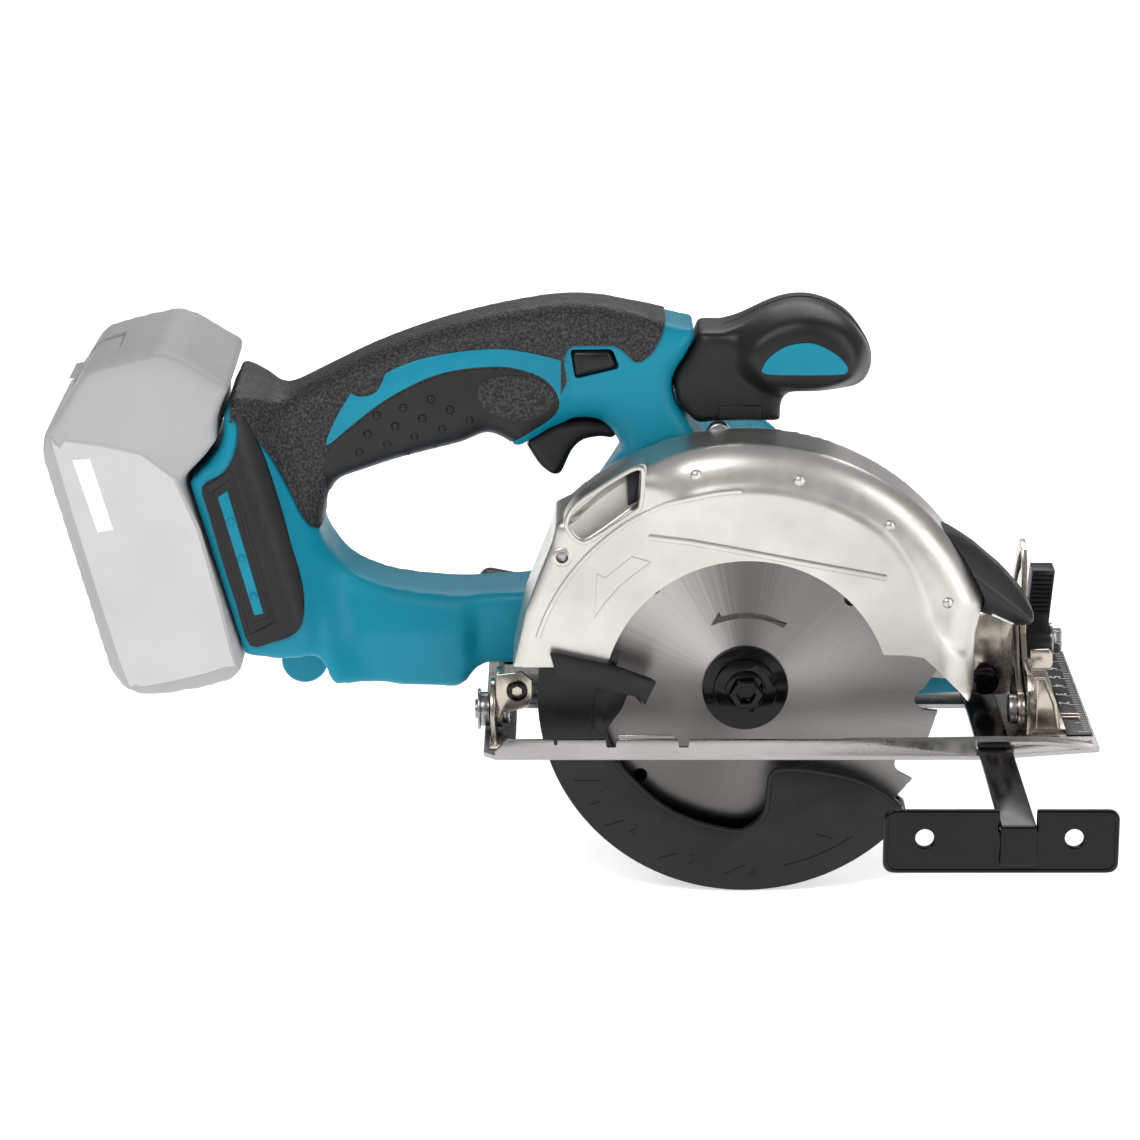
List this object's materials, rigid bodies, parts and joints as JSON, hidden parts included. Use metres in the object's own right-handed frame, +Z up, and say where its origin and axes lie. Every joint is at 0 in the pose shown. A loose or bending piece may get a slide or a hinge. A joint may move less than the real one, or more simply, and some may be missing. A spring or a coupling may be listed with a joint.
{
  "type": "circular saw",
  "caption": "Cordless circular saw with D-handle, front grip, tilting and depth-setting base, swinging lower guard, rip fence and slide-off battery pack.",
  "frame": {"origin": "on the sole plane of the base, straight below the blade spindle, in the parting plane of the handle", "axes": "+X is the cutting direction, +Z is up, the blade is on the -Y side and the motor on the +Y side"},
  "size_m": [0.366, 0.2622, 0.2039],
  "materials": {
    "teal_plastic": "satin moulded",
    "black_rubber": "fine pebbled",
    "black_plastic": "satin moulded",
    "cast_silver": "satin painted casting",
    "pressed_steel": "zinc plated",
    "nickel_steel": "nickel plated, drawn",
    "machined_steel": "ground",
    "blade_steel": "radially ground",
    "black_steel": "gloss black enamel",
    "scale_black": "matt black",
    "magnet": "sintered",
    "copper": "turned",
    "brass": "stamped",
    "lens": "frosted",
    "pack_grey": "satin moulded",
    "cell_wrap": "shrink wrap",
    "pack_dark": "satin moulded"
  },
  "bodies": {
    "base": {"base_plate": "pressed_steel", "bevel_quadrant": "nickel_steel", "rear_bracket": "nickel_steel", "rip_scale": "scale_black", "fence_clamp": "nickel_steel"},
    "fence_knob": {"fence_screw": "machined_steel"},
    "fence": {"rip_fence": "black_steel"},
    "tilt_frame": {"front_tilt_bracket": "nickel_steel", "rear_tilt_bracket": "nickel_steel", "depth_guide": "black_steel", "bevel_pins": "machined_steel", "depth_pivot_pin": "black_steel"},
    "bevel_clamp": {"bevel_lever": "black_plastic"},
    "saw_head": {"pivot_arm": "teal_plastic", "gear_housing": "cast_silver", "gear_cover": "cast_silver", "motor_housing": "teal_plastic", "motor_end_cover": "teal_plastic", "motor_can": "nickel_steel", "motor_magnets": "magnet", "brush_holders": "brass", "blade_case": "cast_silver", "case_screws": "machined_steel", "lamp_housing": "black_plastic", "lamp_lens": "lens", "shell_near": "teal_plastic", "shell_far": "teal_plastic", "shell_screws": "machined_steel", "grip_rubber": "black_rubber", "front_grip": "black_rubber", "front_grip_insert": "teal_plastic", "mount_rubber": "black_rubber", "terminal_block": "black_plastic", "switch_unit": "black_plastic", "gearbox_bearings": "machined_steel", "motor_bearings": "machined_steel", "depth_stud": "machined_steel"},
    "depth_clamp": {"depth_lever": "black_plastic"},
    "blade_shaft": {"spindle": "machined_steel", "drive_gear": "machined_steel", "inner_flange": "machined_steel", "saw_blade": "blade_steel", "outer_flange": "black_steel", "blade_bolt": "black_steel"},
    "idler_shaft": {"idler_gears": "machined_steel"},
    "motor_shaft": {"armature": "machined_steel", "commutator": "copper", "cooling_fan": "black_plastic", "motor_pinion": "machined_steel"},
    "guard": {"lower_guard": "black_plastic", "guard_lever": "black_plastic", "guard_spring": "machined_steel"},
    "trigger_key": {"trigger": "black_plastic"},
    "lock_off_key": {"lock_off_button": "black_plastic"},
    "shaft_lock_key": {"shaft_lock": "black_plastic"},
    "battery": {"pack_shell": "pack_grey", "pack_cells": "cell_wrap"},
    "battery_latch": {"pack_latch": "pack_dark"}
  },
  "joints": [
    {"name": "bevel_tilt", "type": "hinge", "parent": "base", "child": "tilt_frame", "pos_m": [0.095, -0.038, 0.009], "axis": [1, 0, 0], "range_deg": [0, 50]},
    {"name": "depth_swing", "type": "hinge", "parent": "tilt_frame", "child": "saw_head", "pos_m": [0.086, -0.015, 0.013], "axis": [0, 1, 0], "range_deg": [0, 35]},
    {"name": "blade_spin", "type": "hinge", "parent": "saw_head", "child": "blade_shaft", "pos_m": [0, -0.038, 0.017], "axis": [0, 1, 0], "continuous": true},
    {"name": "idler_spin", "type": "hinge", "parent": "saw_head", "child": "idler_shaft", "pos_m": [0.00868, 0, 0.0316], "axis": [0, 1, 0], "continuous": true},
    {"name": "motor_spin", "type": "hinge", "parent": "saw_head", "child": "motor_shaft", "pos_m": [-0.006, 0.05, 0.048], "axis": [0, 1, 0], "continuous": true},
    {"name": "guard_swing", "type": "hinge", "parent": "saw_head", "child": "guard", "pos_m": [0, -0.038, 0.017], "axis": [0, 1, 0], "range_deg": [0, 100], "stiffness_Nm_per_rad": 0.05, "springref_deg": -57.3},
    {"name": "trigger_pull", "type": "hinge", "parent": "saw_head", "child": "trigger_key", "pos_m": [-0.046, 0, 0.1015], "axis": [0, 1, 0], "range_deg": [0, 10], "stiffness_Nm_per_rad": 0.6, "springref_deg": -5.73},
    {"name": "lock_off_press", "type": "slide", "parent": "saw_head", "child": "lock_off_key", "axis": [0, 1, 0], "range_m": [0, 0.004], "stiffness_N_per_m": 300, "springref_m": -0.002},
    {"name": "shaft_lock_press", "type": "slide", "parent": "saw_head", "child": "shaft_lock_key", "axis": [-1, 0, 0], "range_m": [0, 0.004], "stiffness_N_per_m": 400, "springref_m": -0.002},
    {"name": "battery_slide", "type": "slide", "parent": "saw_head", "child": "battery", "axis": [-0.2957, 0, 0.9553], "range_m": [0, 0.12]},
    {"name": "latch_press", "type": "slide", "parent": "battery", "child": "battery_latch", "axis": [0, 0, -1], "range_m": [0, 0.003], "stiffness_N_per_m": 500, "springref_m": -0.002},
    {"name": "bevel_clamp_turn", "type": "hinge", "parent": "tilt_frame", "child": "bevel_clamp", "pos_m": [0.107, 0.01534, 0.01745], "axis": [1, 0, 0], "range_deg": [-35, 0]},
    {"name": "depth_clamp_turn", "type": "hinge", "parent": "saw_head", "child": "depth_clamp", "pos_m": [-0.05522, 0.03, 0.02784], "axis": [0, 1, 0], "range_deg": [-40, 10]},
    {"name": "fence_reach", "type": "slide", "parent": "base", "child": "fence", "axis": [0, 1, 0], "range_m": [-0.03, 0.07]},
    {"name": "fence_knob_turn", "type": "hinge", "parent": "base", "child": "fence_knob", "pos_m": [0.0849, 0.036, 0.01], "axis": [0, 0, 1], "continuous": true}
  ],
  "couplings": [
    {"joint": "idler_spin", "follows": "blade_spin", "ratio": -1.6154},
    {"joint": "motor_spin", "follows": "blade_spin", "ratio": 5.4923}
  ]
}
